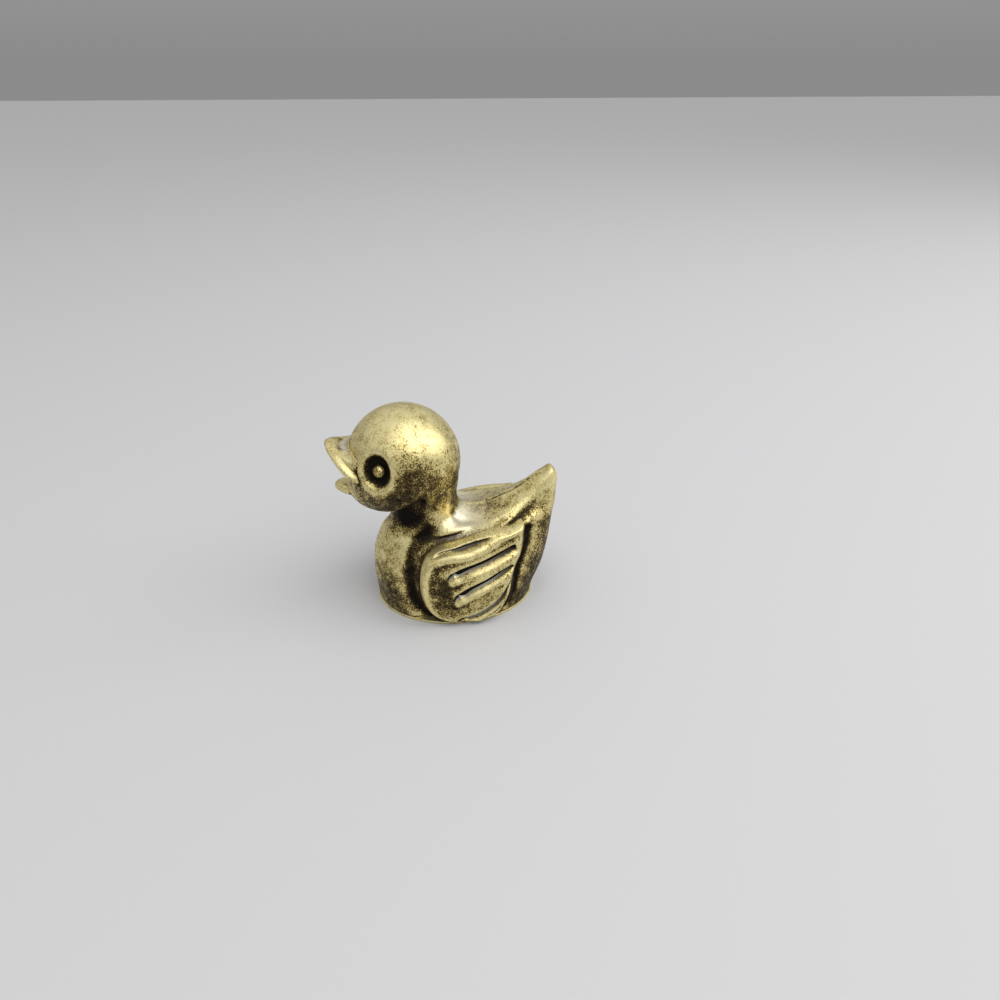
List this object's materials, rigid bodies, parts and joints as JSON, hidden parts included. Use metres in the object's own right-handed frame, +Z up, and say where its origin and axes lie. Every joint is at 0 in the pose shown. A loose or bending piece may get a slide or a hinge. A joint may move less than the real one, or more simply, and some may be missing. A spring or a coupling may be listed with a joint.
{
  "type": "brass duck figurine",
  "caption": "Small brass duckling ornament on a flat oval foot: round head, open upturned bill, raised leaf-shaped wings and an upturned tail.",
  "frame": {"origin": "middle of the flat underside of the oval foot, on the surface that the duck stands on", "axes": "+Z up, the bill points to -Y and the tail to +Y, +X is the duck's own left side"},
  "size_m": [0.0206, 0.0322, 0.0295],
  "materials": {
    "antique_brass": "cast brass with a dark brown patina left in the hollows and pale, rubbed high spots"
  },
  "bodies": {
    "root": {"body": "antique_brass", "foot_plate": "antique_brass", "head": "antique_brass", "upper_bill": "antique_brass", "lower_bill": "antique_brass", "eye_left": "antique_brass", "eye_right": "antique_brass", "wing_left": "antique_brass", "wing_right": "antique_brass"}
  },
  "joints": []
}
